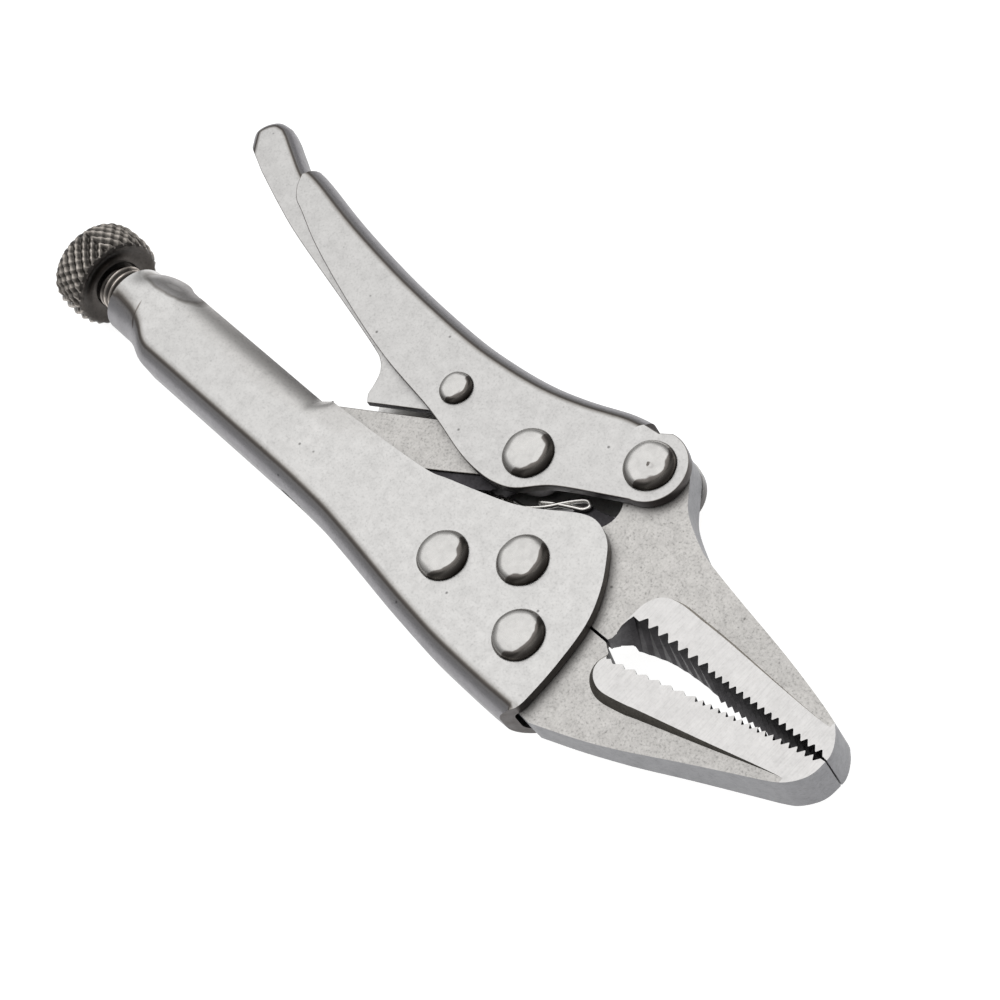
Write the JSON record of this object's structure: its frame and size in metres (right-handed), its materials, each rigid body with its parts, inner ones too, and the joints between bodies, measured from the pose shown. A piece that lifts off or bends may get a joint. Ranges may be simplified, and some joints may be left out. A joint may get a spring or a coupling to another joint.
{
  "type": "locking pliers",
  "caption": "Long-nose locking pliers with a folded steel handle, an adjusting screw at its end, an over-centre lever with a release lever inside it, and finely toothed tapering jaws.",
  "frame": {"origin": "centre of the jaw-pivot rivet's flat lower head, the face the pliers rest on when they lie on their side", "axes": "+X from the adjusting knob to the nose of the jaws, +Y from the fixed handle towards the lever, +Z along the rivets, out of the upper cheek"},
  "size_m": [0.1265, 0.0386, 0.0129],
  "materials": {
    "satin_nickel": "satin nickel plate on folded steel sheet, fine grain",
    "ground_jaw_steel": "forged steel, satin plate, ground pads",
    "polished_rivet_steel": "bright polished heads",
    "dark_screw_steel": "dark oxide",
    "spring_steel": "bright wire"
  },
  "bodies": {
    "handle": {"fixed_handle": "satin_nickel", "fixed_jaw": "ground_jaw_steel", "jaw_pivot_rivet": "polished_rivet_steel", "rear_jaw_rivet": "polished_rivet_steel", "lower_jaw_rivet": "polished_rivet_steel", "tension_spring": "spring_steel"},
    "upper_jaw": {"moving_jaw": "ground_jaw_steel"},
    "lever": {"lever_handle": "satin_nickel", "lever_pivot_rivet": "polished_rivet_steel", "link_rivet": "polished_rivet_steel", "release_rivet": "polished_rivet_steel"},
    "link": {"toggle_link": "satin_nickel"},
    "release": {"release_lever": "satin_nickel"},
    "screw": {"adjusting_screw": "dark_screw_steel"},
    "knob": {"adjusting_knob": "dark_screw_steel"}
  },
  "joints": [
    {"name": "jaw_hinge", "type": "hinge", "parent": "handle", "child": "upper_jaw", "pos_m": [0, 0, 0.00477], "axis": [0, 0, 1], "range_deg": [0, 18], "deforming": ["tension_spring"]},
    {"name": "lever_hinge", "type": "hinge", "parent": "upper_jaw", "child": "lever", "pos_m": [0.0035, 0.0175, 0.00477], "axis": [0, 0, -1], "range_deg": [0, 63]},
    {"name": "link_hinge", "type": "hinge", "parent": "lever", "child": "link", "pos_m": [-0.0096, 0.0099, 0.00477], "axis": [0, 0, 1], "range_deg": [0, 65.5]},
    {"name": "release_hinge", "type": "hinge", "parent": "lever", "child": "release", "pos_m": [-0.0234, 0.0105, 0.00477], "axis": [0, 0, 1], "range_deg": [0, 2.5]},
    {"name": "screw_slide", "type": "slide", "parent": "handle", "child": "screw", "axis": [1, 0, 0], "range_m": [-0.008, 0]},
    {"name": "knob_turn", "type": "hinge", "parent": "screw", "child": "knob", "pos_m": [-0.0763, -0.0061, 0.00477], "axis": [1, 0, 0], "range_deg": [-2880, 0]}
  ],
  "couplings": [
    {"joint": "jaw_hinge", "follows": "lever_hinge", "ratio": 0.28571},
    {"joint": "link_hinge", "follows": "lever_hinge", "ratio": 1.039},
    {"joint": "screw_slide", "follows": "knob_turn", "m_per_rad": 0.00015915}
  ]
}
